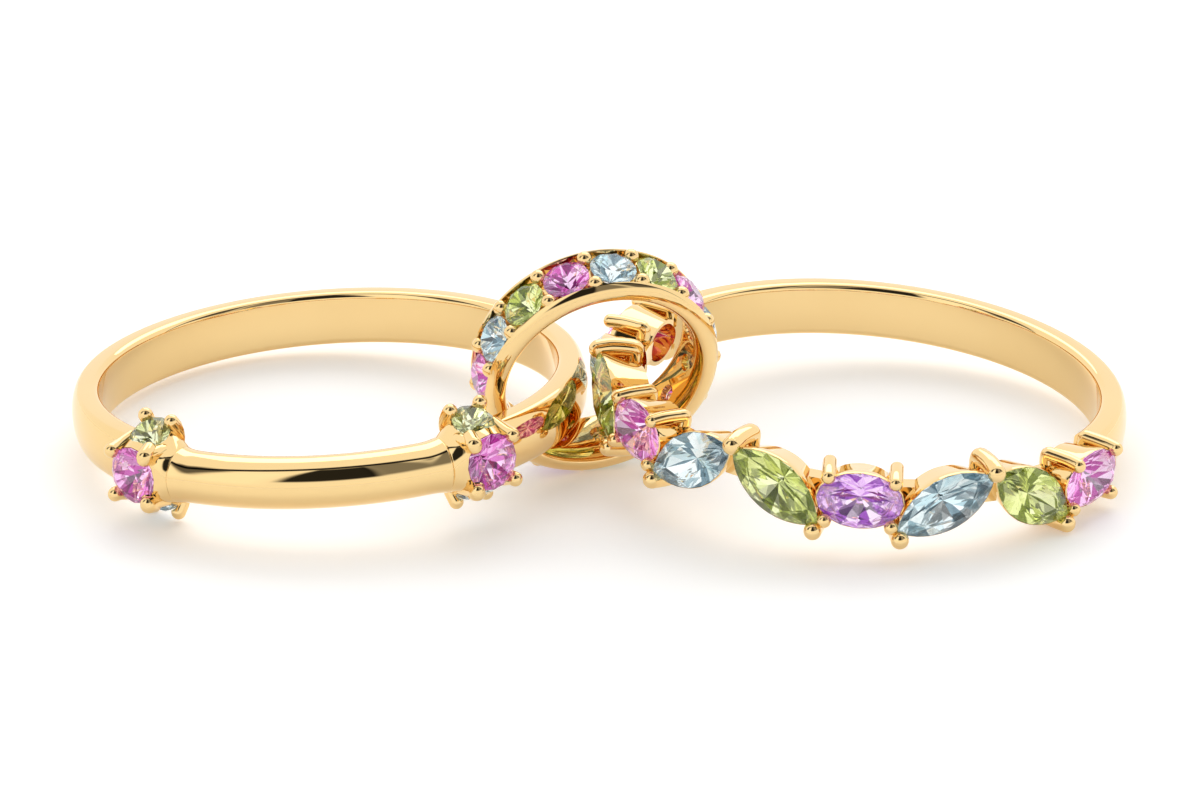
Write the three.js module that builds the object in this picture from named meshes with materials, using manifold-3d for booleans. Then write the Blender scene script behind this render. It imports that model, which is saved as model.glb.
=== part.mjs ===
// Two finger rings held together by a small gem-set link, in yellow gold.
// Millimetres, +Z up, resting on z = 0 under the middle of the whole jewel.
import * as THREE from "three";
import { ConvexGeometry } from "three/addons/geometries/ConvexGeometry.js";
import { mergeVertices } from "three/addons/utils/BufferGeometryUtils.js";
import Module from "manifold-3d";

const wasm = await Module();
wasm.setup();

// Plain shank, the same on both bands
const boreRadius = 8.65;
const bandThickness = 1.1;
const bandHeight = 2.1;
const bandSideFace = 0.8;
const bandEdgeDepth = 0.1;
const bandEdgeHeight = 0.3;
const bandShoulderHeight = 0.55;

// Clearance between a stone and its metal, and how many times as much there is below it
const seatGap = 0.05;
const keelRoom = 1.3;

// Stones: length and width of the girdle, height of the crown, depth of the pavilion
const cuts = {
  oval: { length: 3.2, width: 2.15, crown: 0.36, pavilion: 0.95, tips: 0.2 },
  marquise: { length: 4.1, width: 2.05, crown: 0.34, pavilion: 0.9, tips: 0.35 },
  face: { length: 2.15, width: 2.15, crown: 0.32, pavilion: 0.9, tips: 0 },
  side: { length: 1.7, width: 1.7, crown: 0.26, pavilion: 0.66, tips: 0 },
  link: { length: 1.76, width: 1.76, crown: 0.26, pavilion: 0.68, tips: 0 },
};
const girdleHeight = 0.06;
const tableShare = 0.56;

// Cluster band: a thick bar between two clusters of three round stones
const barRadius = 0.98;
const barCentre = 0.8;
const clusterHalfAngle = 39.65;
const clusterMiddleAngle = 267.25;
const faceStoneRise = 1.8;
const sideStoneTurn = 66;
const sideStoneOut = 0.77;
const sideStoneHeight = 1.32;
const clusterBodyOverlap = 0.35;
const collarRadius = 1.2;
const collarLength = 0.85;
const collarOffset = 1.1;
const clusterBall = 0.29;
const clusterProngFoot = -0.8;
const clusterProngReach = 0.8;

// Row band: ovals and leaning marquises in a scalloped gallery
const rowMiddleAngle = 238.3;
const rowGirdleRise = 1.55;
const tipGap = 0.06;
const flankGap = 0.18;
const marquiseLean = 31;
const galleryDepth = 0.75;
const galleryHeight = 0.7;
const cupLip = 0.17;
const windowShare = 0.6;
const ovalBall = 0.27;
const ovalProngX = 0.385;
const ovalProngY = 0.405;
const tipBall = 0.34;
const topBall = 0.36;
const rodShare = 0.85;
const topBallLift = 0.15;
const tipBallOut = 0.05;
const prongTip = 0.14;
const prongFoot = 0.15;

// Link: a channel of round stones between two rails, with a pair of beads at each join
const linkInner = 3.66;
const linkWall = 0.86;
const linkWidth = 2.6;
const linkRailWidth = 0.2;
const linkOuterBevel = 0.215;
const linkInnerBevel = 0.43;
const linkInnerBevelFoot = 0.172;
const linkBevelDrop = 0.182;
const linkInnerFlat = 1.3;
const linkChannelDepth = 0.24;
const linkGirdleDrop = 0.13;
const linkStoneGap = 0.05;
const linkBead = 0.26;
const linkBeadRise = 0.156;
const linkBeadInset = 0.182;
const linkHole = 0.3;
const linkFirstStone = 85.9;

// Pose of the link, and of each band where its middle line passes through the link,
// at a distance along the link's inner wall from its lowest point
const linkYaw = 17.25;
const linkLean = 17.74;
const clusterThread = {
  ringAngle: -16.74, alongLink: -1.744, clearance: 0.28, tiltX: -3.26, tiltY: -3.3,
};
const rowThread = {
  ringAngle: 188.56, alongLink: 2.594, clearance: 0.33, tiltX: -0.7, tiltY: 5,
};

// Facets
const bandSteps = 48;
const linkSteps = 30;
const ballSteps = 10;
const ballRings = 4;
const rodSteps = 6;
const girdleSteps = 12;
const windowSteps = 8;
const barSteps = 12;
const smallestEdge = 0.012;

const rad = THREE.MathUtils.degToRad;
const bandRadius = boreRadius + bandThickness / 2;
const boreCutHeight = 8 * bandHeight;
const rowGirdleRadius = boreRadius + rowGirdleRise;
const linkOuter = linkInner + linkWall;

// Turns a closed three.js geometry into a solid, placed by a matrix.
function solidOf(geometry, matrix) {
  const bare = geometry.clone();
  bare.deleteAttribute("normal");
  bare.deleteAttribute("uv");
  if (matrix) bare.applyMatrix4(matrix);
  const merged = mergeVertices(bare, 1e-4);
  return new wasm.Manifold(
    new wasm.Mesh({
      numProp: 3,
      vertProperties: merged.attributes.position.array,
      triVerts: new Uint32Array(merged.index.array),
    }),
  );
}

function meshOf(name, solid, material) {
  const made = solid.getMesh();
  const geometry = new THREE.BufferGeometry();
  geometry.setAttribute("position", new THREE.BufferAttribute(made.vertProperties, 3));
  geometry.setIndex(new THREE.BufferAttribute(made.triVerts, 1));
  geometry.computeVertexNormals();
  const mesh = new THREE.Mesh(geometry, material);
  mesh.name = name;
  return mesh;
}

const joined = (solids) => solids.reduce((sum, solid) => sum.add(solid));
const eased = (solid) => solid.asOriginal().simplify(smallestEdge);

// A ring round Z from a closed profile of [radius, height] points
function latheSolid(profile, steps) {
  const points = profile.map(([radius, height]) => new THREE.Vector2(radius, height));
  points.push(points[0].clone());
  return solidOf(new THREE.LatheGeometry(points, steps).rotateX(Math.PI / 2));
}

// A pie slice round Z between two angles in degrees
function sectorSolid(from, to, radius, height) {
  const shape = new THREE.Shape();
  shape.moveTo(0, 0);
  shape.absarc(0, 0, radius, rad(from), rad(to), false);
  shape.lineTo(0, 0);
  const slice = new THREE.ExtrudeGeometry(shape, {
    depth: height,
    bevelEnabled: false,
    curveSegments: bandSteps,
  });
  return solidOf(slice.translate(0, 0, -height / 2));
}

// A frame at a ring angle: Z points outward at the given turn from the ring's plane,
// X runs along the ring and is leaned by an angle in the stone's own plane.
function frameAt(angle, radius, height = 0, turn = 0, lean = 0) {
  const out = new THREE.Vector3(Math.cos(rad(angle)), Math.sin(rad(angle)), 0);
  const along = new THREE.Vector3(-out.y, out.x, 0);
  const up = new THREE.Vector3(0, 0, 1);
  const z = out.clone().multiplyScalar(Math.cos(rad(turn)));
  z.addScaledVector(up, Math.sin(rad(turn)));
  const side = new THREE.Vector3().crossVectors(z, along);
  const x = along.clone().multiplyScalar(Math.cos(rad(lean)));
  x.addScaledVector(side, Math.sin(rad(lean)));
  const y = new THREE.Vector3().crossVectors(z, x);
  const frame = new THREE.Matrix4().makeBasis(x, y, z);
  return frame.setPosition(out.multiplyScalar(radius).addScaledVector(up, height));
}

// The outline of a stone: an ellipse, or two arcs that meet in points
function outlineOf(kind, length, width, steps) {
  const points = [];
  for (let i = 0; i < steps; i += 1) {
    const t = (2 * Math.PI * i) / steps;
    const x = (length / 2) * Math.cos(t);
    let y = (width / 2) * Math.sin(t);
    if (kind === "marquise") {
      const arc = (length * length + width * width) / (4 * width);
      y = Math.sign(y) * (Math.sqrt(arc * arc - x * x) - (arc - width / 2));
    }
    points.push(new THREE.Vector2(x, y));
  }
  return points;
}

// A cut stone with its girdle at z = 0, grown by a clearance on every side
function stoneSolid(kind, frame, grow = 0) {
  const cut = cuts[kind];
  const length = cut.length + 2 * grow;
  const width = cut.width + 2 * grow;
  const girdle = outlineOf(kind, length, width, girdleSteps);
  const table = outlineOf(kind, length * tableShare, width * tableShare, girdleSteps / 2);
  const keel = (cut.tips * cut.length) / 2;
  const deep = -cut.pavilion - keelRoom * grow;
  const points = [
    ...table.map((p) => new THREE.Vector3(p.x, p.y, cut.crown + grow)),
    ...girdle.map((p) => new THREE.Vector3(p.x, p.y, grow)),
    ...girdle.map((p) => new THREE.Vector3(p.x, p.y, -girdleHeight - grow)),
    new THREE.Vector3(keel, 0, deep),
    new THREE.Vector3(-keel, 0, deep),
  ];
  return solidOf(new ConvexGeometry(points), frame);
}

// A straight wall of a stone's outline from one height to another in the stone's frame
function cupSolid(kind, frame, share, steps, from, to) {
  const { length, width } = cuts[kind];
  const shape = new THREE.Shape(outlineOf(kind, length * share, width * share, steps));
  const wall = new THREE.ExtrudeGeometry(shape, { depth: to - from, bevelEnabled: false });
  return solidOf(wall.translate(0, 0, from), frame);
}

// Points round the edge of a stone's cup, just below the girdle
function ringPoints(kind, frame) {
  const { length, width } = cuts[kind];
  return outlineOf(kind, length, width, girdleSteps).map((p) =>
    new THREE.Vector3(p.x, p.y, -cupLip).applyMatrix4(frame),
  );
}

// A prong in a frame: a rod that rises from its foot to a ball just above the girdle
function prongSolid(frame, x, y, foot, ball) {
  const thick = ball * rodShare;
  const rod = new THREE.CylinderGeometry(thick, thick, prongTip - foot, rodSteps);
  rod.rotateX(Math.PI / 2).translate(x, y, (foot + prongTip) / 2);
  const head = new THREE.SphereGeometry(ball, ballSteps, ballRings);
  head.rotateX(Math.PI / 2).translate(x, y, prongTip);
  return solidOf(rod, frame).add(solidOf(head, frame));
}

function shankProfile() {
  const side = boreRadius + bandEdgeDepth;
  const crease = side + bandSideFace;
  const outer = boreRadius + bandThickness;
  const half = bandHeight / 2;
  const shoulder = (crease + 2 * outer) / 3;
  const upper = [
    [outer, 0],
    [shoulder, bandShoulderHeight],
    [crease, half],
    [side, half],
    [boreRadius, half - bandEdgeHeight],
  ];
  const lower = upper.slice(1).reverse().map(([radius, height]) => [radius, -height]);
  return [...lower, ...upper];
}

const boreSolid = (clear) =>
  solidOf(
    new THREE.CylinderGeometry(boreRadius + clear, boreRadius + clear, boreCutHeight, bandSteps)
      .rotateX(Math.PI / 2),
  );

const gold = new THREE.MeshStandardMaterial({ color: 0xe9c27a, roughness: 0.12, metalness: 1 });
const gems = {
  pink: new THREE.MeshStandardMaterial({ color: 0xc868c0, roughness: 0.05, metalness: 0 }),
  green: new THREE.MeshStandardMaterial({ color: 0xa9b840, roughness: 0.05, metalness: 0 }),
  aqua: new THREE.MeshStandardMaterial({ color: 0xa8cdd8, roughness: 0.05, metalness: 0 }),
};

// The cluster band
function clusterBand() {
  const group = new THREE.Group();
  const centre = boreRadius + barCentre;
  const from = clusterMiddleAngle - clusterHalfAngle;
  const to = clusterMiddleAngle + clusterHalfAngle;
  const bar = [];
  for (let i = 0; i < barSteps; i += 1) {
    const t = (2 * Math.PI * (i + 0.5)) / barSteps;
    const radius = Math.max(centre + barRadius * Math.cos(t), boreRadius);
    bar.push([radius, barRadius * Math.sin(t)]);
  }
  const overlap = THREE.MathUtils.radToDeg(clusterBodyOverlap / centre);
  const shank = latheSolid(shankProfile(), bandSteps).subtract(
    sectorSolid(from + overlap, to - overlap, 2 * boreRadius, 2 * bandHeight),
  );
  const metal = [
    latheSolid(bar, bandSteps).intersect(sectorSolid(from, to, 2 * boreRadius, 2 * bandHeight)),
  ];
  const seats = [];
  const sides = [
    { name: "left", angle: from, inward: 1 },
    { name: "right", angle: to, inward: -1 },
  ];
  for (const { name, angle, inward } of sides) {
    const stones = [
      { label: "face_pink", kind: "face", colour: "pink", place: 0 },
      { label: "top_green", kind: "side", colour: "green", place: 1 },
      { label: "under_aqua", kind: "side", colour: "aqua", place: -1 },
    ];
    const body = [];
    for (const { label, kind, colour, place } of stones) {
      const turn = place * sideStoneTurn;
      const out = kind === "face" ? faceStoneRise : sideStoneOut;
      const frame = frameAt(angle, boreRadius + out, place * sideStoneHeight, turn);
      body.push(...ringPoints(kind, frame));
      seats.push(stoneSolid(kind, frame, seatGap));
      group.add(meshOf(`cluster_${name}_${label}`, stoneSolid(kind, frame), gems[colour]));
      const reach = (cuts[kind].length / 2) * clusterProngReach;
      const corners = kind === "face" ? [-1, 1] : [place];
      for (const y of corners) {
        for (const x of [-1, 1]) {
          metal.push(prongSolid(frame, x * reach, y * reach, clusterProngFoot, clusterBall));
        }
      }
      if (kind === "side") {
        const [x, y] = [inward * reach, -place * reach];
        metal.push(prongSolid(frame, x, y, clusterProngFoot, clusterBall));
      }
    }
    metal.push(solidOf(new ConvexGeometry(body)));
    const collarAngle = angle + inward * THREE.MathUtils.radToDeg(collarOffset / centre);
    const collar = new THREE.CylinderGeometry(
      inward > 0 ? barRadius : collarRadius,
      inward > 0 ? collarRadius : barRadius,
      collarLength,
      barSteps,
    );
    const along = frameAt(collarAngle, centre);
    const lie = new THREE.Matrix4().makeRotationZ(Math.PI / 2);
    metal.push(solidOf(collar, along.multiply(lie)));
  }
  const dressed = joined(metal).subtract(boreSolid(seatGap)).add(shank);
  group.add(meshOf("cluster_band", eased(dressed.subtract(joined(seats))), gold));
  return group;
}

// How far a leaned marquise reaches along the ring at mid height, from its two arcs
function marquiseFlank({ length, width }, lean) {
  const arc = (length * length + width * width) / (4 * width);
  const offset = arc - width / 2;
  const slope = offset * Math.sin(rad(lean));
  return Math.sqrt(slope * slope + arc * arc - offset * offset) - slope;
}

// The row's stones in order: an oval, then two marquises that meet at their upper tips
function rowCells() {
  const kinds = ["oval", "marquise", "marquise"];
  const colours = ["pink", "aqua", "green"];
  const leans = [0, marquiseLean, -marquiseLean];
  const { oval, marquise } = cuts;
  const tip = (marquise.length / 2) * Math.cos(rad(marquiseLean));
  const beside = oval.length / 2 + marquiseFlank(marquise, marquiseLean) + flankGap;
  const meeting = 2 * tip + tipGap;
  const step = (spacing) =>
    THREE.MathUtils.radToDeg(2 * Math.asin(spacing / 2 / rowGirdleRadius));
  const steps = [];
  for (let i = 0; i < 9; i += 1) steps.push(step(i % 3 === 1 ? meeting : beside));
  let angle = rowMiddleAngle - steps.reduce((sum, value) => sum + value) / 2;
  const cells = [];
  for (let i = 0; i < 10; i += 1) {
    const part = i % 3;
    cells.push({ kind: kinds[part], colour: colours[part], lean: leans[part], angle });
    angle += steps[i] ?? 0;
  }
  return cells;
}

function rowBand() {
  const group = new THREE.Group();
  const cells = rowCells();
  const endReach = THREE.MathUtils.radToDeg(cuts.oval.length / 2 / rowGirdleRadius);
  const from = cells[0].angle - endReach;
  const to = cells.at(-1).angle + endReach;
  const shank = latheSolid(shankProfile(), bandSteps).subtract(
    sectorSolid(from, to, 2 * boreRadius, 2 * bandHeight),
  );
  const gallery = latheSolid(
    [
      [boreRadius, -galleryHeight / 2],
      [boreRadius + galleryDepth, -galleryHeight / 2],
      [boreRadius + galleryDepth, galleryHeight / 2],
      [boreRadius, galleryHeight / 2],
    ],
    bandSteps,
  );
  const added = [];
  const taken = [];
  cells.forEach(({ kind, colour, lean, angle }, index) => {
    const frame = frameAt(angle, rowGirdleRadius, 0, 0, lean);
    const { length, width } = cuts[kind];
    added.push(cupSolid(kind, frame, 1, girdleSteps, -rowGirdleRise, -cupLip));
    taken.push(stoneSolid(kind, frame, seatGap));
    const inside = -rowGirdleRise - galleryDepth;
    taken.push(cupSolid(kind, frame, windowShare, windowSteps, inside, -2 * cupLip));
    const name = `row_${kind}_${String(index + 1).padStart(2, "0")}_${colour}`;
    group.add(meshOf(name, stoneSolid(kind, frame), gems[colour]));
    const foot = prongFoot - rowGirdleRise;
    if (kind === "oval") {
      for (const x of [-1, 1]) {
        for (const y of [-1, 1]) {
          added.push(
            prongSolid(frame, x * length * ovalProngX, y * width * ovalProngY, foot, ovalBall),
          );
        }
      }
    } else {
      const low = -Math.sign(lean) * (length / 2 + tipBallOut);
      added.push(prongSolid(frame, low, 0, foot, tipBall));
      if (lean > 0) {
        const middle = (angle + cells[index + 1].angle) / 2;
        const height = (length / 2) * Math.sin(rad(lean)) + topBallLift;
        const top = frameAt(middle, rowGirdleRadius, height);
        added.push(prongSolid(top, 0, 0, foot, topBall));
      }
    }
  });
  const rowMetal = joined(added).subtract(boreSolid(seatGap)).add(shank).add(gallery);
  group.add(meshOf("row_band", eased(rowMetal.subtract(joined(taken))), gold));
  return group;
}

// The link, round its own Z
function linkRing() {
  const group = new THREE.Group();
  const half = linkWidth / 2;
  const rail = cuts.link.width / 2 + seatGap;
  const floor = linkOuter - linkChannelDepth;
  const upper = [
    [floor, rail],
    [linkOuter, rail],
    [linkOuter, rail + linkRailWidth],
    [linkOuter - linkOuterBevel, half],
    [linkInner + linkInnerBevel, half],
    [linkInner + linkInnerBevelFoot, half - linkBevelDrop],
    [linkInner, linkInnerFlat / 2],
  ];
  const lower = upper.slice().reverse().map(([radius, height]) => [radius, -height]);
  const shell = latheSolid([...lower, ...upper], linkSteps);
  const girdleRadius = linkOuter - linkGirdleDrop;
  const pitch = 2 * Math.asin((cuts.link.length + linkStoneGap) / 2 / girdleRadius);
  const count = Math.floor((2 * Math.PI) / pitch);
  const colours = ["aqua", "pink", "green"];
  const beads = [];
  const taken = [];
  for (let i = 0; i < count; i += 1) {
    const angle = linkFirstStone + (360 * i) / count;
    const frame = frameAt(angle, girdleRadius);
    const colour = colours[i % 3];
    taken.push(stoneSolid("link", frame, seatGap));
    const hole = new THREE.CylinderGeometry(linkHole, linkHole, 2 * linkWall, rodSteps);
    hole.rotateX(Math.PI / 2).translate(0, 0, -linkWall);
    taken.push(solidOf(hole, frame));
    const name = `link_stone_${String(i + 1).padStart(2, "0")}_${colour}`;
    group.add(meshOf(name, stoneSolid("link", frame), gems[colour]));
    const between = frameAt(angle + 180 / count, linkOuter - linkBead + linkBeadRise);
    for (const side of [-1, 1]) {
      const bead = new THREE.SphereGeometry(linkBead, ballSteps, ballRings);
      bead.rotateX(Math.PI / 2).translate(0, side * (rail - linkBeadInset), 0);
      beads.push(solidOf(bead, between));
    }
  }
  const metal = joined([shell, ...beads]).subtract(joined(taken));
  group.add(meshOf("link_ring", eased(metal), gold));
  return group;
}

// Places a band so that its middle line passes through the link's plane near its inner wall,
// at a distance along that wall and a clearance away from it.
function threadBand(group, link, { ringAngle, alongLink, clearance, tiltX, tiltY }) {
  group.rotation.set(rad(tiltX), rad(tiltY), 0, "XYZ");
  const depth = linkInner - bandHeight / 2 - clearance;
  const turn = alongLink / linkInner;
  const point = new THREE.Vector3(depth * Math.sin(turn), -depth * Math.cos(turn), 0);
  point.applyMatrix4(link.matrix);
  const reach = new THREE.Vector3(Math.cos(rad(ringAngle)), Math.sin(rad(ringAngle)), 0);
  reach.multiplyScalar(bandRadius).applyEuler(group.rotation);
  group.position.copy(point.sub(reach));
}

const root = new THREE.Group();
const link = linkRing();
link.rotation.set(rad(90 + linkLean), 0, rad(linkYaw), "ZXY");
link.updateMatrix();
const clusters = clusterBand();
threadBand(clusters, link, clusterThread);
const row = rowBand();
threadBand(row, link, rowThread);
root.add(clusters, row, link);

// The whole jewel stands on z = 0, centred on the origin.
root.updateMatrixWorld(true);
const box = new THREE.Box3().setFromObject(root, true);
root.position.set(
  -(box.min.x + box.max.x) / 2,
  -(box.min.y + box.max.y) / 2,
  -box.min.z,
);

export default root;
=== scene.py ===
# Two finger rings held together by a small gem-set link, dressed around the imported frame.
import math

import bmesh
import bpy
from mathutils import Matrix, Vector


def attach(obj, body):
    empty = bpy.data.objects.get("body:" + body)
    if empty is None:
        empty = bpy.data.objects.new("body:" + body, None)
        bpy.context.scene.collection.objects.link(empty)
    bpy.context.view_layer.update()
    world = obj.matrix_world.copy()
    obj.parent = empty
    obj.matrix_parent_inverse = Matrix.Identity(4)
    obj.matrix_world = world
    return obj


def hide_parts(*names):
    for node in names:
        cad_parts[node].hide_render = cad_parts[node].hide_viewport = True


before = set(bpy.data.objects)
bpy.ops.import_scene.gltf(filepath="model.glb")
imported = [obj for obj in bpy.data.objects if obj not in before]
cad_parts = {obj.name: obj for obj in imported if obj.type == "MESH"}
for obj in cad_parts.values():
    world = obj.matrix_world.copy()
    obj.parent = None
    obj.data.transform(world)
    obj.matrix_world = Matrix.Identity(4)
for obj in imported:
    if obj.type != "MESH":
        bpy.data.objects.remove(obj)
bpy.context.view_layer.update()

# Sizes are in millimetres, as on the real jewel, and become metres when a mesh is made.
MM = 0.001

# Places of the three rings in the frame: centre, and turns in degrees
CLUSTER_CENTRE = (-10.1529, 0.8357, 2.0411)
CLUSTER_TURN = (-3.26, -3.3)
ROW_CENTRE = (10.1738, 0.2367, 2.2118)
ROW_TURN = (-0.7, 5.0)
LINK_CENTRE = (-0.1497, -2.0667, 4.6702)
LINK_YAW = 17.25
LINK_LEAN = 17.74

# Plain shank
BORE_RADIUS = 8.65
BAND_THICKNESS = 1.1
BAND_HALF = 1.05
BAND_EDGE = 0.25
BAND_DOME = 0.38

# Stones: length and width of the girdle, height of the crown, depth of the pavilion
CUTS = {
    "oval": {"length": 3.2, "width": 2.15, "crown": 0.36, "pavilion": 0.95},
    "marquise": {"length": 4.1, "width": 2.05, "crown": 0.34, "pavilion": 0.9},
    "face": {"length": 2.15, "width": 2.15, "crown": 0.32, "pavilion": 0.9},
    "side": {"length": 1.7, "width": 1.7, "crown": 0.26, "pavilion": 0.66},
    "link": {"length": 1.76, "width": 1.76, "crown": 0.26, "pavilion": 0.68},
}
GIRDLE = 0.05
SEAT_GAP = 0.02

# Corners of a stone: shares of its outline, and for the middle ones a share of the depth too
TABLE_SHARE = 0.58
STAR_SHARE = 0.8
LOWER_SHARE = 0.3
MIDDLE_SHARE = 0.68
MIDDLE_DEPTH = 0.37
GIRDLE_STEPS = {"oval": 16, "marquise": 24, "face": 16, "side": 16, "link": 16}

# Painted light and shade of a lower facet, in place of the light a real stone reflects inside: a step for
# each slice round the stone, and a change over the depth
PAINTED_SHADING_SLICES = 16
PAINTED_SHADING_STEP = 0.618
PAINTED_SHADING_DEPTH = 2.7
LOWER_NORMAL = -0.1

# Cluster band
BAR_RADIUS = 0.98
BAR_CENTRE = BORE_RADIUS + 0.8
CLUSTER_MIDDLE = 267.25
CLUSTER_HALF = 39.65
FACE_OUT = 1.8
SIDE_TURN = 60
SIDE_OUT = 0.77
SIDE_HEIGHT = 1.32
COLLAR_RADIUS = 1.06
COLLAR_NEAR = 1.49
COLLAR_FAR = 2.3
DRUM_RADIUS = 1.02
DRUM_BACK = 0.95
DRUM_FRONT = 1.5
GROOVE = 0.05
BODY_EDGE = 0.1
BODY_RIM = 0.03
BODY_OVERLAP = 0.35
COLLAR_CURVE = 2.5
GROOVE_SLOPE = 1.5
BAR_CORE = 0.7
BAR_BORE_GAP = 0.04
CLUSTER_BALL = 0.28
CLUSTER_REACH = 0.8
CLUSTER_FOOT = -0.75
FACE_SPREAD = 1.08
SIDE_SPREAD = (1.12, 1.05)

# Double ball of a cluster, and the thin arm towards the shank: shares of the ball and of the reach
PAIR_CLOSER = 0.7
PAIR_LIFT = 0.06
PAIR_ROOT = 0.7
PAIR_LOW_BALL = 1.15
PAIR_ROOT_BALL = 1.1
ARM_REACH = (1.15, 0.35)
ARM_HEIGHT = -0.05
ARM_BALLS = (0.8, 0.72)

# Row band
ROW_MIDDLE = 238.3
ROW_GIRDLE = BORE_RADIUS + 1.55
TIP_GAP = 0.06
FLANK_GAP = 0.18
MARQUISE_LEAN = 31
GALLERY_DEPTH = 0.75
GALLERY_HALF = 0.35
CUP_FOOT_SHARE = {"oval": 0.8, "marquise": 0.74}
CUP_SHARES = (0.96, 1.02, 1.03, 1.01)
CUP_HEIGHTS = (-0.5, -0.2, -0.05, -0.01)
WINDOW_SHARE = 0.66
WINDOW_BELOW = 1
WINDOW_MIDDLE = 0.25
WINDOW_TOP = -0.4
OVAL_BALL = 0.27
OVAL_PRONG = (0.385, 0.405)
TIP_BALL = 0.34
TOP_BALL = 0.36
TOP_BALL_LIFT = 0.15
TIP_BALL_IN = 0.13
TIP_BALL_DROP = 0.33
PRONG_TIP = 0.14
OVAL_RISE = 0.06
TIP_RISE = 0.04
TOP_RISE = 0.12

# Path of a row prong: where a height starts, the height from there, and the share of the rise
STAPLE_ROOT = {"inward": 0.3, "height": 0.28}
STAPLE_PATH = (
    ("foot", 0.3, 0.4),
    ("foot", 0.6, 1),
    ("tip", -0.55, 1),
    ("tip", -0.22, 0.5),
    ("tip", 0, 0),
)

# Link
LINK_INNER = 3.66
LINK_OUTER = 4.52
LINK_HALF = 1.3
LINK_RAIL = 0.93
LINK_ROUND = 0.5
LINK_INNER_BEVEL = 0.65
LINK_CHANNEL = 0.26
LINK_GIRDLE = LINK_OUTER - 0.13
LINK_COUNT = 15
LINK_FIRST = 85.9
LINK_BEAD = 0.3
LINK_BEAD_SINK = 0.4
LINK_BEAD_INWARD = 0.7
LINK_HOLE = 0.3
LINK_HOLE_FLARE = 1.3
LINK_HOLE_ENDS = (-1.2, -0.5)
LINK_RAIL_EDGE = 0.03

# Tools that cut the shanks and the finger holes
CUT_RADIUS = 20
CUT_HEIGHT = 6
BORE_CLEAR = 0.002
BORE_REACH = 4

# Facets
SHANK_STEPS = 240
LINK_STEPS = 180
SECTION_STEPS = 48
BALL_STEPS = 24
ROD_STEPS = 20
OUTLINE_STEPS = 56
BAR_SPANS = 100
CORE_SPANS = 80
CORE_STEPS = 24
RIM_STEPS = 40
EDGE_STEPS = 8
HOLE_STEPS = 24
SECTOR_SPANS = 60
SHARP_ANGLE = 38
MERGE_ANGLE = 0.4


def rad(degrees):
    return math.radians(degrees)


def ring_matrix(centre, turn):
    turned = Matrix.Rotation(rad(turn[0]), 4, "X") @ Matrix.Rotation(rad(turn[1]), 4, "Y")
    return Matrix.Translation(centre) @ turned


def link_matrix():
    turn = Matrix.Rotation(rad(LINK_YAW), 4, "Z") @ Matrix.Rotation(rad(90 + LINK_LEAN), 4, "X")
    return Matrix.Translation(LINK_CENTRE) @ turn


def turns(steps):
    """Angles in radians, evenly spaced round a full circle."""
    return [2 * math.pi * i / steps for i in range(steps)]


def frame_at(angle, radius, height=0.0, turn=0.0, lean=0.0):
    """A stone's frame on a ring: Z outward at a turn from the ring's plane, X along the ring."""
    out = Vector((math.cos(rad(angle)), math.sin(rad(angle)), 0))
    along = Vector((-out.y, out.x, 0))
    up = Vector((0, 0, 1))
    z = out * math.cos(rad(turn)) + up * math.sin(rad(turn))
    side = z.cross(along)
    x = along * math.cos(rad(lean)) + side * math.sin(rad(lean))
    y = z.cross(x)
    matrix = Matrix((x, y, z)).transposed().to_4x4()
    matrix.translation = out * radius + up * height
    return matrix


def mesh_object(name, verts, faces):
    mesh = bpy.data.meshes.new(name)
    mesh.from_pydata([tuple(v) for v in verts], [], faces)
    mesh.validate()
    obj = bpy.data.objects.new(name, mesh)
    bpy.context.scene.collection.objects.link(obj)
    return obj


def recalc(obj):
    bm = bmesh.new()
    bm.from_mesh(obj.data)
    bmesh.ops.recalc_face_normals(bm, faces=bm.faces)
    bm.to_mesh(obj.data)
    bm.free()


def loft(name, rings, closed=False):
    """Joins rings of points, each with as many, with end caps unless the rings close on themselves."""
    count = len(rings[0])
    verts = [v for ring in rings for v in ring]
    faces = []
    spans = len(rings) if closed else len(rings) - 1
    for i in range(spans):
        a, b = i * count, ((i + 1) % len(rings)) * count
        for j in range(count):
            k = (j + 1) % count
            faces.append((a + j, a + k, b + k, b + j))
    if not closed:
        faces.append(tuple(range(count - 1, -1, -1)))
        faces.append(tuple((len(rings) - 1) * count + j for j in range(count)))
    obj = mesh_object(name, verts, faces)
    recalc(obj)
    return obj


def lathe(name, profile, steps):
    rings = []
    for t in turns(steps):
        rings.append([Vector((r * math.cos(t), r * math.sin(t), z)) for r, z in profile])
    return loft(name, rings, closed=True)


def outline(kind, length, width, steps):
    """A stone's outline: an ellipse, or two arcs that meet in points."""
    return [outline_point(kind, length, width, t) for t in turns(steps)]


def outline_point(kind, length, width, t):
    x = length / 2 * math.cos(t)
    y = width / 2 * math.sin(t)
    if kind == "marquise":
        arc = (length**2 + width**2) / (4 * width)
        y = math.copysign(math.sqrt(arc**2 - x**2) - (arc - width / 2), y)
    return x, y


def place(obj, matrix):
    obj.data.transform(matrix)
    return obj


def ball(radius, matrix):
    obj = mesh_object("ball", [], [])
    bm = bmesh.new()
    bmesh.ops.create_uvsphere(bm, u_segments=BALL_STEPS, v_segments=BALL_STEPS // 2, radius=radius)
    bm.to_mesh(obj.data)
    bm.free()
    return place(obj, matrix)


def tube(radii, heights, matrix, steps=ROD_STEPS):
    """A round solid along Z with a radius at each height."""
    rings = []
    for radius, height in zip(radii, heights):
        rings.append([Vector((radius * math.cos(t), radius * math.sin(t), height)) for t in turns(steps)])
    return place(loft("tube", rings), matrix)


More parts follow.
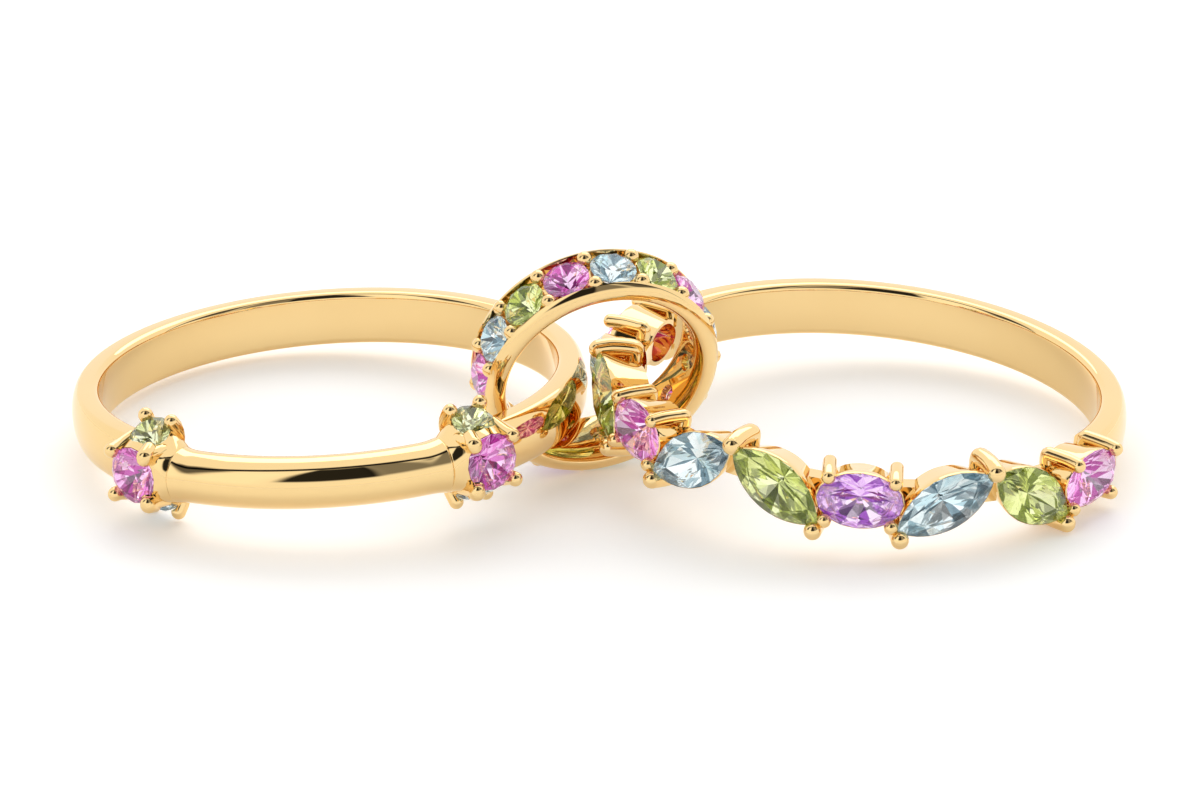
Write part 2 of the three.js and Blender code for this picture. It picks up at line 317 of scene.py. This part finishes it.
def capsule(spots):
    """The smallest smooth body round a few balls, each given as centre and radius."""
    points = []
    half = BALL_STEPS // 2
    for centre, radius in spots:
        for i in range(half + 1):
            tilt = math.pi * i / half
            across = math.sin(tilt)
            for t in [0] if i in (0, half) else turns(BALL_STEPS):
                way = Vector((across * math.cos(t), across * math.sin(t), math.cos(tilt)))
                points.append(Vector(centre) + way * radius)
    return hull("capsule", points)


def rod(path, radius, matrix):
    """A round wire along a path in the plane of Y and Z, with ball ends."""
    parts = [ball(radius, matrix @ Matrix.Translation(end)) for end in (path[0], path[-1])]
    rings = []
    for i, point in enumerate(path):
        before, after = path[max(i - 1, 0)], path[min(i + 1, len(path) - 1)]
        along = (after - before).normalized()
        side = Vector((1, 0, 0))
        up = along.cross(side)
        rings.append([point + (side * math.cos(t) + up * math.sin(t)) * radius for t in turns(ROD_STEPS)])
    parts.append(place(loft("rod", rings), matrix))
    return parts


def curve(points, steps=6):
    """A smooth path through a few points."""
    path = []
    for i in range(len(points) - 1):
        p0, p1 = points[max(i - 1, 0)], points[i]
        p2, p3 = points[i + 1], points[min(i + 2, len(points) - 1)]
        for k in range(steps):
            t = k / steps
            path.append(
                0.5 * (2 * p1 + (p2 - p0) * t + (2 * p0 - 5 * p1 + 4 * p2 - p3) * t**2
                       + (3 * p1 - p0 - 3 * p2 + p3) * t**3)
            )
    return path + [points[-1]]


def staple(matrix, x, y, radius, rise):
    """A row prong: a wire over the gallery that bends down to a ball on the stone's edge."""
    side = math.copysign(1, y) if y else 1
    starts = {"foot": BORE_RADIUS - ROW_GIRDLE, "tip": PRONG_TIP}
    points = [Vector((x, y - side * STAPLE_ROOT["inward"], starts["foot"] + STAPLE_ROOT["height"]))]
    for start, height, share in STAPLE_PATH:
        points.append(Vector((x, y + side * rise * share, starts[start] + height)))
    wire = rod(curve(points), radius, matrix)
    return [*wire, ball(radius, matrix @ Matrix.Translation((x, y, PRONG_TIP)))]


def cup(kind, matrix, shares, heights):
    """A solid of a stone's outline, with a share of its size at each height."""
    length, width = CUTS[kind]["length"], CUTS[kind]["width"]
    rings = []
    for share, height in zip(shares, heights):
        points = outline(kind, length * share, width * share, OUTLINE_STEPS)
        rings.append([Vector((x, y, height)) for x, y in points])
    return place(loft("cup", rings), matrix)


def stone_points(kind, grow=0.0):
    """The corners of a brilliant cut: table, stars, girdle, lower facets and culet."""
    cut = CUTS[kind]
    length, width = cut["length"] + 2 * grow, cut["width"] + 2 * grow
    crown, deep = cut["crown"] + grow, cut["pavilion"] + grow
    points = []

    def add(share, t, height):
        x, y = outline_point(kind, length, width, t)
        points.append(Vector((x * share, y * share, height)))

    eighth = math.pi / 4
    middle = math.cos(eighth / 2)
    star_height = crown * (1 - STAR_SHARE * middle) / (1 - TABLE_SHARE)
    lower_height = -GIRDLE - (deep - GIRDLE) * (1 - LOWER_SHARE * middle)
    for i in range(8):
        add(TABLE_SHARE, i * eighth, crown)
        add(STAR_SHARE, (i + 0.5) * eighth, star_height)
        add(LOWER_SHARE, (i + 0.5) * eighth, lower_height)
        if kind in ("oval", "marquise"):
            add(MIDDLE_SHARE, i * eighth, -GIRDLE - (deep - GIRDLE) * MIDDLE_DEPTH)
    for t in turns(GIRDLE_STEPS[kind]):
        add(1, t, grow)
        add(1, t, -GIRDLE - grow)
    points.append(Vector((0, 0, -deep)))
    return points


def hull(name, points):
    obj = mesh_object(name, points, [])
    bm = bmesh.new()
    bm.from_mesh(obj.data)
    result = bmesh.ops.convex_hull(bm, input=bm.verts)
    unused = result["geom_interior"] + result["geom_unused"]
    loose = [element for element in unused if isinstance(element, bmesh.types.BMVert)]
    bmesh.ops.delete(bm, geom=list(set(loose)), context="VERTS")
    bmesh.ops.dissolve_limit(bm, angle_limit=rad(MERGE_ANGLE), verts=bm.verts, edges=bm.edges)
    bmesh.ops.recalc_face_normals(bm, faces=bm.faces)
    bm.to_mesh(obj.data)
    bm.free()
    return obj


def seat(kind, matrix):
    return place(hull("seat", stone_points(kind, SEAT_GAP)), matrix)


def fused(name, base, added, taken):
    """One body: the base, with solids joined to it and then cut from it."""
    groups = []
    for operation, tools in (("UNION", added), ("DIFFERENCE", taken)):
        if not tools:
            continue
        group = bpy.data.collections.new("tools")
        for tool in tools:
            group.objects.link(tool)
        groups.append(group)
        step = base.modifiers.new("step", "BOOLEAN")
        step.solver = "MANIFOLD"
        step.operation = operation
        step.operand_type = "COLLECTION"
        step.collection = group
    graph = bpy.context.evaluated_depsgraph_get()
    mesh = bpy.data.meshes.new_from_object(base.evaluated_get(graph), depsgraph=graph)
    for obj in [base, *added, *taken]:
        bpy.data.objects.remove(obj)
    for group in groups:
        bpy.data.collections.remove(group)
    mesh.name = name
    mesh.materials.clear()
    obj = bpy.data.objects.new(name, mesh)
    bpy.context.scene.collection.objects.link(obj)
    return obj


def finished(obj, ring, materials, node):
    """Puts a finished mesh in the frame, in metres, in place of its CAD node."""
    obj.data.transform(Matrix.Scale(MM, 4) @ ring)
    for material in materials:
        obj.data.materials.append(material)
    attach(obj, "root")
    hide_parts(node)
    return obj


def smooth(obj):
    obj.data.shade_smooth()
    obj.data.set_sharp_from_angle(angle=rad(SHARP_ANGLE))
    return obj


def node_tree(name):
    material = bpy.data.materials.new(name)
    material.use_nodes = True
    tree = material.node_tree
    return material, tree, tree.nodes["Principled BSDF"]


def gold_material():
    """Polished yellow gold: a slight drift of tone, and fine polishing marks."""
    material, tree, shader = node_tree("polished_gold")
    shader.inputs["Metallic"].default_value = 1
    coords = tree.nodes.new("ShaderNodeTexCoord")
    drift = tree.nodes.new("ShaderNodeTexNoise")
    drift.inputs["Scale"].default_value = 160
    drift.inputs["Detail"].default_value = 3
    tree.links.new(coords.outputs["Object"], drift.inputs["Vector"])
    tone = tree.nodes.new("ShaderNodeValToRGB")
    tone.color_ramp.elements[0].position = 0.3
    tone.color_ramp.elements[0].color = (0.85, 0.605, 0.28, 1)
    tone.color_ramp.elements[1].position = 0.7
    tone.color_ramp.elements[1].color = (0.88, 0.64, 0.305, 1)
    tree.links.new(drift.outputs["Fac"], tone.inputs["Fac"])
    tree.links.new(tone.outputs["Color"], shader.inputs["Base Color"])
    wear = tree.nodes.new("ShaderNodeTexNoise")
    wear.inputs["Scale"].default_value = 900
    wear.inputs["Detail"].default_value = 4
    tree.links.new(coords.outputs["Object"], wear.inputs["Vector"])
    gloss = tree.nodes.new("ShaderNodeMapRange")
    gloss.inputs["To Min"].default_value = 0.015
    gloss.inputs["To Max"].default_value = 0.05
    tree.links.new(wear.outputs["Fac"], gloss.inputs["Value"])
    tree.links.new(gloss.outputs["Result"], shader.inputs["Roughness"])
    bump = tree.nodes.new("ShaderNodeBump")
    bump.inputs["Strength"].default_value = 0.02
    bump.inputs["Distance"].default_value = 0.00002
    tree.links.new(wear.outputs["Fac"], bump.inputs["Height"])
    tree.links.new(bump.outputs["Normal"], shader.inputs["Normal"])
    return material


def crown_material(name, tint, ior):
    """The clear upper facets and girdle of a stone."""
    material, _, shader = node_tree(name)
    shader.inputs["Transmission Weight"].default_value = 1
    shader.inputs["IOR"].default_value = ior
    shader.inputs["Roughness"].default_value = 0
    shader.inputs["Base Color"].default_value = (*tint, 1)
    return material


def painted_pavilion_material(name, dark, middle, light, ior):
    """The lower facets of a stone, as mirrors tinted with painted light and shade, a dark, middle or light
    colour for each facet, and a faint painted glow of the same colours.
    """
    material, tree, shader = node_tree(name)
    shader.inputs["Metallic"].default_value = 0.8
    shader.inputs["IOR"].default_value = ior
    shader.inputs["Roughness"].default_value = 0
    facet = tree.nodes.new("ShaderNodeAttribute")
    facet.attribute_name = "facet_painted_shading"
    # The ramp gives each facet its painted shade, middle or painted light colour
    tone = tree.nodes.new("ShaderNodeValToRGB")
    tone.color_ramp.elements[0].position = 0.2
    tone.color_ramp.elements[0].color = (*dark, 1)
    tone.color_ramp.elements[1].position = 0.65
    tone.color_ramp.elements[1].color = (*light, 1)
    tone.color_ramp.elements.new(0.35).color = (*middle, 1)
    tree.links.new(facet.outputs["Fac"], tone.inputs["Fac"])
    tree.links.new(tone.outputs["Color"], shader.inputs["Base Color"])
    # Painted glow: the same painted colours shine faintly as emission
    tree.links.new(tone.outputs["Color"], shader.inputs["Emission Color"])
    shader.inputs["Emission Strength"].default_value = 0.08
    return material


def gem(name, tint, dark, middle, light, ior):
    """The two materials of a stone, for above and below its girdle."""
    crown = crown_material(name + "_crown", tint, ior)
    return crown, painted_pavilion_material(name + "_pavilion", dark, middle, light, ior)


GOLD = gold_material()
# Each stone: a clear tint for its crown, and for its lower facets its own hue in three painted brightnesses:
# painted shade, middle and painted light
GEMS = {
    "pink": gem(
        "pink", tint=(0.99, 0.9, 1.0), ior=1.55,
        dark=(0.46, 0.05, 0.34), middle=(0.9, 0.34, 0.75), light=(1.0, 0.82, 0.98),
    ),
    "violet": gem(
        "violet", tint=(0.97, 0.92, 1.0), ior=1.55,
        dark=(0.32, 0.07, 0.48), middle=(0.77, 0.44, 0.91), light=(1.0, 0.88, 1.0),
    ),
    "green": gem(
        "green", tint=(0.98, 1.0, 0.88), ior=1.5,
        dark=(0.2, 0.25, 0.02), middle=(0.62, 0.68, 0.18), light=(0.97, 1.0, 0.66),
    ),
    "mint": gem(
        "mint", tint=(0.96, 0.98, 0.9), ior=1.5,
        dark=(0.19, 0.19, 0.05), middle=(0.6, 0.63, 0.25), light=(0.96, 0.98, 0.75),
    ),
    "aqua": gem(
        "aqua", tint=(0.95, 0.99, 1.0), ior=1.5,
        dark=(0.17, 0.26, 0.31), middle=(0.62, 0.81, 0.87), light=(0.97, 1.0, 1.0),
    ),
}


def stone(name, kind, ring, matrix, colour):
    """A cut stone with painted light and shade on each facet below the girdle, in place of the light the
    real stone reflects inside.
    """
    obj = hull(name + "_cut", stone_points(kind))
    painted_shading_values = obj.data.attributes.new("facet_painted_shading", "FLOAT", "FACE")
    for face in obj.data.polygons:
        slices = math.atan2(face.center.y, face.center.x) / (2 * math.pi / PAINTED_SHADING_SLICES)
        # tone is each lower facet's painted light or shade value, not the stone's own colour
        tone = round(slices) * PAINTED_SHADING_STEP + face.center.z * PAINTED_SHADING_DEPTH / CUTS[kind]["pavilion"]
        painted_shading_values.data[face.index].value = tone % 1
        face.material_index = 1 if face.normal.z < LOWER_NORMAL else 0
    return finished(place(obj, matrix), ring, GEMS[colour], name)


def shank_profile():
    """Inner wall, rounded inner edge, nearly flat side and domed outside, closed."""
    side = BORE_RADIUS + BAND_EDGE
    outer = BORE_RADIUS + BAND_THICKNESS
    crease = outer - BAND_DOME
    upper = []
    for i in range(13):
        t = rad(90 * i / 12)
        upper.append((crease + BAND_DOME * math.cos(t), (BAND_HALF - 0.02) * math.sin(t)))
    for i in range(9):
        t = rad(90 * i / 8)
        drop = 1 - math.cos(t)
        upper.append((side - BAND_EDGE * math.sin(t), BAND_HALF - BAND_EDGE * drop))
    lower = [(r, -z) for r, z in reversed(upper[1:])]
    return lower + upper


def bar_sections(start, end):
    """The thick bar, which flares into a collar at each end and narrows in a thin groove there."""
    rings = []
    length = rad(end - start) * BAR_CENTRE
    for i in range(BAR_SPANS + 1):
        share = 0.5 - 0.5 * math.cos(math.pi * (i / BAR_SPANS))
        distance = min(share, 1 - share) * length
        flare = max(0.0, 1 - distance / (COLLAR_FAR - COLLAR_NEAR))
        radius = BAR_RADIUS + (COLLAR_RADIUS - BAR_RADIUS) * flare**COLLAR_CURVE
        radius -= max(0.0, GROOVE - distance) * GROOVE_SLOPE
        angle = rad(start) + share * rad(end - start)
        out = Vector((math.cos(angle), math.sin(angle), 0))
        ring = []
        for t in turns(SECTION_STEPS):
            reach = max(BAR_CENTRE + radius * math.cos(t), BORE_RADIUS + BAR_BORE_GAP)
            ring.append(out * reach + Vector((0, 0, radius * math.sin(t))))
        rings.append(ring)
    return loft("bar", rings)


def edge_spots(kind, matrix):
    """Points of a rounded rim under a stone's edge, for the smooth body below it."""
    reach = CUTS[kind]["length"] / 2 - BODY_EDGE + BODY_RIM
    points = []
    for t in turns(RIM_STEPS):
        for u in turns(EDGE_STEPS):
            out = reach + BODY_EDGE * math.cos(u)
            height = BODY_EDGE * (math.sin(u) - 1) - BODY_RIM
            points.append(matrix @ Vector((out * math.cos(t), out * math.sin(t), height)))
    return points


def cluster_body(stones, back, front):
    """A smooth body under three stones, from a round end at the back to one against the bar."""
    points = [p for kind, at in stones for p in edge_spots(kind, at)]
    ends = ((DRUM_RADIUS, -DRUM_BACK, back), (DRUM_RADIUS, -GROOVE, front), (DRUM_RADIUS - GROOVE, 0, front))
    for radius, reach, lie in ends:
        for t in turns(SECTION_STEPS):
            points.append(lie @ Vector((radius * math.cos(t), radius * math.sin(t), reach)))
    return hull("cluster_body", points)


def cluster_prongs(frames, inward, body_centre):
    """Prongs of a cluster: one ball at each outer corner, and a double one towards the bar."""
    face, side = (CUTS[kind]["length"] / 2 * CLUSTER_REACH for kind in ("face", "side"))
    prongs = []
    for level in (1, -1):
        lows = {}
        for x in (-1, 1):
            tip = frames[level] @ Vector((x * side, level * side, PRONG_TIP))
            foot_place = (x * side * SIDE_SPREAD[0], level * side * SIDE_SPREAD[1], CLUSTER_FOOT)
            prongs.append(capsule([(tip, CLUSTER_BALL), (frames[level] @ Vector(foot_place), CLUSTER_BALL)]))
            lows[x] = frames[0] @ Vector((x * face, level * face, PRONG_TIP))
            root = frames[0] @ Vector((x * face * FACE_SPREAD, level * face * FACE_SPREAD, CLUSTER_FOOT))
            prongs.append(capsule([(lows[x], CLUSTER_BALL), (root, CLUSTER_BALL)]))
        low = lows[inward]
        tip = frames[level] @ Vector((inward * side, -level * side, PRONG_TIP))
        middle = (tip + low) / 2
        down = (body_centre - middle).normalized()
        spots = [middle + (spot - middle) * PAIR_CLOSER - down * PAIR_LIFT for spot in (low, tip)]
        prongs.append(capsule([(spots[0], CLUSTER_BALL * PAIR_LOW_BALL), (spots[1], CLUSTER_BALL)]))
        for spot in spots:
            root = spot + down * PAIR_ROOT
            prongs.append(capsule([(spot, CLUSTER_BALL), (root, CLUSTER_BALL * PAIR_ROOT_BALL)]))
        back_place = (-inward * side * ARM_REACH[0], -level * side * ARM_REACH[1], ARM_HEIGHT)
        back = frames[level] @ Vector(back_place)
        near_ball, far_ball = (CLUSTER_BALL * share for share in ARM_BALLS)
        prongs.append(capsule([(lows[-inward], near_ball), (back, far_ball)]))
    return prongs


def cluster_band():
    ring = ring_matrix(CLUSTER_CENTRE, CLUSTER_TURN)
    left = CLUSTER_MIDDLE - CLUSTER_HALF
    right = CLUSTER_MIDDLE + CLUSTER_HALF
    near = math.degrees(COLLAR_NEAR / BAR_CENTRE)
    overlap = math.degrees(BODY_OVERLAP / BAR_CENTRE)
    shank = lathe("cluster_band_gold", shank_profile(), SHANK_STEPS)
    shank = fused("cluster_shank", shank, [], [sector(left + overlap, right - overlap)])
    added = [bar_sections(left + near, right - near), bar_core(left, right)]
    taken = []
    levels = (
        ("face_pink", "face", "pink", 0),
        ("top_green", "side", "mint", 1),
        ("under_aqua", "side", "aqua", -1),
    )
    for side, angle, inward in (("left", left, 1), ("right", right, -1)):
        frames = {}
        for label, kind, colour, level in levels:
            out = FACE_OUT if kind == "face" else SIDE_OUT
            at = frame_at(angle, BORE_RADIUS + out, level * SIDE_HEIGHT, level * SIDE_TURN)
            frames[level] = at
            taken.append(seat(kind, at))
            name = f"cluster_{side}_{label}"
            stone(name, kind, ring, at, colour)
        along = Matrix.Rotation(rad(90 * inward), 4, "Y")
        lie = frame_at(angle, BAR_CENTRE) @ along
        front = frame_at(angle + inward * math.degrees(DRUM_FRONT / BAR_CENTRE), BAR_CENTRE) @ along
        stones = [("face", frames[0]), ("side", frames[1]), ("side", frames[-1])]
        added.append(cluster_body(stones, lie, front))
        added += cluster_prongs(frames, inward, lie.translation)
    metal = fused("cluster_band_metal", shank, added, [*taken, bore_cylinder()])
    finished(smooth(metal), ring, [GOLD], "cluster_band")


def bar_core(left, right):
    """The middle of the bar, which runs on into the cluster bodies."""
    rings = []
    for i in range(CORE_SPANS + 1):
        angle = left + (right - left) * i / CORE_SPANS
        out = Vector((math.cos(rad(angle)), math.sin(rad(angle)), 0))
        ring = []
        for t in turns(CORE_STEPS):
            reach = BAR_CENTRE + BAR_CORE * math.cos(t)
            ring.append(out * reach + Vector((0, 0, BAR_CORE * math.sin(t))))
        rings.append(ring)
    return loft("bar_core", rings)


def bore_cylinder():
    """A cylinder that keeps added metal out of the finger hole."""
    radius = BORE_RADIUS - BORE_CLEAR
    return tube([radius, radius], [-BORE_REACH, BORE_REACH], Matrix.Identity(4), SHANK_STEPS)


def row_cells():
    """The row's stones in order: an oval, then two marquises that meet at their upper tips."""
    oval, marquise = CUTS["oval"], CUTS["marquise"]
    arc = (marquise["length"] ** 2 + marquise["width"] ** 2) / (4 * marquise["width"])
    offset = arc - marquise["width"] / 2
    slope = offset * math.sin(rad(MARQUISE_LEAN))
    flank = math.sqrt(slope**2 + arc**2 - offset**2) - slope
    beside = oval["length"] / 2 + flank + FLANK_GAP
    meeting = marquise["length"] * math.cos(rad(MARQUISE_LEAN)) + TIP_GAP
    steps = []
    for i in range(9):
        spacing = meeting if i % 3 == 1 else beside
        steps.append(math.degrees(2 * math.asin(spacing / 2 / ROW_GIRDLE)))
    angle = ROW_MIDDLE - sum(steps) / 2
    cells = []
    for i in range(10):
        kind, colour, lean = (
            ("oval", "pink", 0), ("marquise", "aqua", MARQUISE_LEAN), ("marquise", "green", -MARQUISE_LEAN),
        )[i % 3]
        cells.append((kind, colour, lean, angle))
        angle += (steps + [0])[i]
    return cells


def sector(start, end):
    """A wedge between two angles, for cutting a shank open."""
    points = [(0, 0)]
    for i in range(SECTOR_SPANS + 1):
        t = rad(start + (end - start) * i / SECTOR_SPANS)
        points.append((CUT_RADIUS * math.cos(t), CUT_RADIUS * math.sin(t)))
    rings = [[Vector((x, y, z)) for x, y in points] for z in (-CUT_HEIGHT / 2, CUT_HEIGHT / 2)]
    return loft("sector", rings)


def row_band():
    ring = ring_matrix(ROW_CENTRE, ROW_TURN)
    cells = row_cells()
    reach = math.degrees(CUTS["oval"]["length"] * OVAL_PRONG[0] / ROW_GIRDLE)
    shank = lathe("row_band_gold", shank_profile(), SHANK_STEPS)
    front = sector(cells[0][3] - reach, cells[-1][3] + reach)
    shank = fused("row_shank", shank, [], [front])
    gallery = lathe(
        "gallery",
        [
            (BORE_RADIUS, -GALLERY_HALF),
            (BORE_RADIUS + GALLERY_DEPTH, -GALLERY_HALF),
            (BORE_RADIUS + GALLERY_DEPTH, GALLERY_HALF),
            (BORE_RADIUS, GALLERY_HALF),
        ],
        SHANK_STEPS,
    )
    added, taken = [gallery], []
    for index, (kind, colour, lean, angle) in enumerate(cells):
        at = frame_at(angle, ROW_GIRDLE, 0, 0, lean)
        length, width = CUTS[kind]["length"], CUTS[kind]["width"]
        low = BORE_RADIUS - ROW_GIRDLE
        added.append(cup(kind, at, (CUP_FOOT_SHARE[kind], *CUP_SHARES), (low, *CUP_HEIGHTS)))
        taken.append(seat(kind, at))
        window_heights = (low - WINDOW_BELOW, low + WINDOW_MIDDLE, WINDOW_TOP)
        taken.append(cup(kind, at, (WINDOW_SHARE,) * 3, window_heights))
        if kind == "oval":
            for x in (-1, 1):
                for y in (-1, 1):
                    across, beside = x * length * OVAL_PRONG[0], y * width * OVAL_PRONG[1]
                    added += staple(at, across, beside, OVAL_BALL, OVAL_RISE)
        else:
            tip = at @ Vector((-math.copysign(length / 2 - TIP_BALL_IN, lean), 0, 0))
            tip.z -= TIP_BALL_DROP
            tip_angle = math.degrees(math.atan2(tip.y, tip.x))
            tip_frame = frame_at(tip_angle, Vector((tip.x, tip.y)).length)
            added += staple(tip_frame, 0, tip.z, TIP_BALL, TIP_RISE)
            if lean > 0:
                middle = (angle + cells[index + 1][3]) / 2
                height = length / 2 * math.sin(rad(lean)) + TOP_BALL_LIFT
                added += staple(frame_at(middle, ROW_GIRDLE), 0, height, TOP_BALL, TOP_RISE)
        shade = "violet" if index == 6 else colour
        stone(f"row_{kind}_{index + 1:02d}_{colour}", kind, ring, at, shade)
    metal = fused("row_band_metal", shank, added, [*taken, bore_cylinder()])
    finished(smooth(metal), ring, [GOLD], "row_band")


def link_profile():
    """Channel, rounded rail and rounded inner wall, closed."""
    channel = LINK_OUTER - LINK_CHANNEL
    upper = [
        (channel, 0),
        (channel, LINK_RAIL),
        (LINK_OUTER - LINK_RAIL_EDGE, LINK_RAIL),
    ]
    start = math.asin(1 - (LINK_HALF - LINK_RAIL - LINK_RAIL_EDGE) / LINK_ROUND)
    for i in range(17):
        t = start + (rad(90) - start) * i / 16
        drop = LINK_ROUND * (math.cos(start) - math.cos(t))
        upper.append((LINK_OUTER - drop, LINK_HALF - LINK_ROUND * (1 - math.sin(t))))
    side = LINK_OUTER - LINK_ROUND * math.cos(start)
    for i in range(1, 9):
        t = rad(90 * i / 8)
        height = LINK_HALF - LINK_INNER_BEVEL * (1 - math.cos(t))
        upper.append((side - (side - LINK_INNER) * math.sin(t), height))
    lower = [(r, -z) for r, z in reversed(upper[1:])]
    return lower + upper


def link_ring():
    ring = link_matrix()
    base = lathe("link_gold", link_profile(), LINK_STEPS)
    added, taken = [], []
    colours = ("aqua", "pink", "green")
    for i in range(LINK_COUNT):
        angle = LINK_FIRST + 360 * i / LINK_COUNT
        at = frame_at(angle, LINK_GIRDLE)
        taken.append(seat("link", at))
        taken.append(tube([LINK_HOLE * LINK_HOLE_FLARE, LINK_HOLE], LINK_HOLE_ENDS, at, HOLE_STEPS))
        between = frame_at(angle + 180 / LINK_COUNT, LINK_OUTER - LINK_BEAD * LINK_BEAD_SINK)
        for side in (-1, 1):
            shift = Matrix.Translation((0, side * (LINK_RAIL - LINK_BEAD * LINK_BEAD_INWARD), 0))
            added.append(ball(LINK_BEAD, between @ shift))
        colour = colours[i % 3]
        stone(f"link_stone_{i + 1:02d}_{colour}", "link", ring, at, colour)
    metal = fused("link_ring_metal", base, added, taken)
    finished(smooth(metal), ring, [GOLD], "link_ring")


# Floor, in metres: half its width, and how far it lies below the part
FLOOR_HALF = 3.0
FLOOR_DROP = 0.00002

# Overhead gap of the studio: range and softness in degrees, change of strength
GAP_LOW = 75
GAP_HIGH = 84
GAP_SOFT = 1.5
GAP_CHANGE = -0.97

# Camera: the point it looks at and its distance from there, its height in degrees and its lens
CAMERA_TARGET = (0.05, 5.135, 0)
CAMERA_DISTANCE = 300
CAMERA_HEIGHT = 23
CAMERA_LENS = 234.57


def floor():
    half = FLOOR_HALF
    corners = [(-half, -half, 0), (half, -half, 0), (half, half, 0), (-half, half, 0)]
    obj = mesh_object("floor", corners, [(0, 1, 2, 3)])
    obj.location.z = -FLOOR_DROP
    material, _, shader = node_tree("pale_floor")
    shader.inputs["Base Color"].default_value = (0.95, 0.945, 0.935, 1)
    shader.inputs["Roughness"].default_value = 0.7
    shader.inputs["Emission Color"].default_value = (1, 0.99, 0.975, 1)
    shader.inputs["Emission Strength"].default_value = 0.22
    obj.data.materials.append(material)


def windows(tree, value, low, high, soft):
    """One between two limits and nothing outside them, with soft edges."""
    parts = []
    for start, end in ((low - soft, low + soft), (high + soft, high - soft)):
        step = tree.nodes.new("ShaderNodeMapRange")
        step.interpolation_type = "SMOOTHSTEP"
        step.inputs["From Min"].default_value = min(start, end)
        step.inputs["From Max"].default_value = max(start, end)
        step.inputs["To Min"].default_value = 0 if start < end else 1
        step.inputs["To Max"].default_value = 1 if start < end else 0
        tree.links.new(value, step.inputs["Value"])
        parts.append(step.outputs["Result"])
    return maths(tree, "MULTIPLY", *parts)


def maths(tree, operation, *values):
    node = tree.nodes.new("ShaderNodeMath")
    node.operation = operation
    for i, value in enumerate(values):
        if isinstance(value, (int, float)):
            node.inputs[i].default_value = value
        else:
            tree.links.new(value, node.inputs[i])
    return node.outputs[0]


# Panels of the studio: range of azimuth, range of height, softness, all in degrees, and strength
PANELS = (
    ((-24, 22), (24, 75), 4, 0.02),
    ((20, 50), (26, 76), 6, 0.22),
    ((-90, -64), (24, 55), 5, 0.12),
    ((54, 84), (28, 60), 5, 0.12),
    ((-62, -30), (10, 62), 8, 1.12),
)


def sky():
    world = bpy.data.worlds.new("studio")
    bpy.context.scene.world = world
    world.use_nodes = True
    tree = world.node_tree
    background = tree.nodes["Background"]
    coords = tree.nodes.new("ShaderNodeTexCoord")
    split = tree.nodes.new("ShaderNodeSeparateXYZ")
    tree.links.new(coords.outputs["Generated"], split.inputs[0])
    x, y, z = split.outputs
    front = maths(tree, "MULTIPLY", y, -1)
    azimuth = maths(tree, "DEGREES", maths(tree, "ARCTAN2", x, front))
    height = maths(tree, "DEGREES", maths(tree, "ARCSINE", z))
    total = None
    for (a0, a1), (h0, h1), soft, strength in PANELS:
        across = windows(tree, azimuth, a0, a1, soft)
        inside = maths(tree, "MULTIPLY", across, windows(tree, height, h0, h1, soft))
        factor = maths(tree, "MULTIPLY_ADD", inside, strength - 1, 1)
        total = factor if total is None else maths(tree, "MULTIPLY", total, factor)
    tilt = maths(tree, "DEGREES", maths(tree, "ARCTAN2", z, front))
    gap = maths(tree, "MULTIPLY_ADD", windows(tree, tilt, GAP_LOW, GAP_HIGH, GAP_SOFT), GAP_CHANGE, 1)
    total = maths(tree, "MULTIPLY", total, gap)
    tree.links.new(total, background.inputs["Color"])
    background.inputs["Strength"].default_value = 1.14


def area_light(name, place_mm, aim_mm, size_mm, power):
    data = bpy.data.lights.new(name, "AREA")
    data.shape = "RECTANGLE"
    data.size = size_mm[0] * MM
    data.size_y = size_mm[1] * MM
    data.energy = power
    obj = bpy.data.objects.new(name, data)
    bpy.context.scene.collection.objects.link(obj)
    obj.location = Vector(place_mm) * MM
    aim = (Vector(aim_mm) - Vector(place_mm)).normalized()
    obj.rotation_euler = aim.to_track_quat("-Z", "Y").to_euler()


def camera():
    data = bpy.data.cameras.new("camera")
    data.sensor_width = 36
    data.lens = CAMERA_LENS
    data.clip_start = 0.01
    obj = bpy.data.objects.new("camera", data)
    bpy.context.scene.collection.objects.link(obj)
    elevation = rad(CAMERA_HEIGHT)
    offset = Vector((0, -math.cos(elevation), math.sin(elevation))) * CAMERA_DISTANCE
    obj.location = (Vector(CAMERA_TARGET) + offset) * MM
    obj.rotation_euler = (-offset).to_track_quat("-Z", "Y").to_euler()
    bpy.context.scene.camera = obj


camera()
floor()
sky()
area_light("back_softbox", (60, 320, 330), (0, 0, 0), (420, 260), 0.48)
bpy.context.scene.view_settings.view_transform = "Standard"
bpy.context.scene.cycles.max_bounces = 24
bpy.context.scene.cycles.glossy_bounces = 16
bpy.context.scene.cycles.transmission_bounces = 24
cluster_band()
row_band()
link_ring()
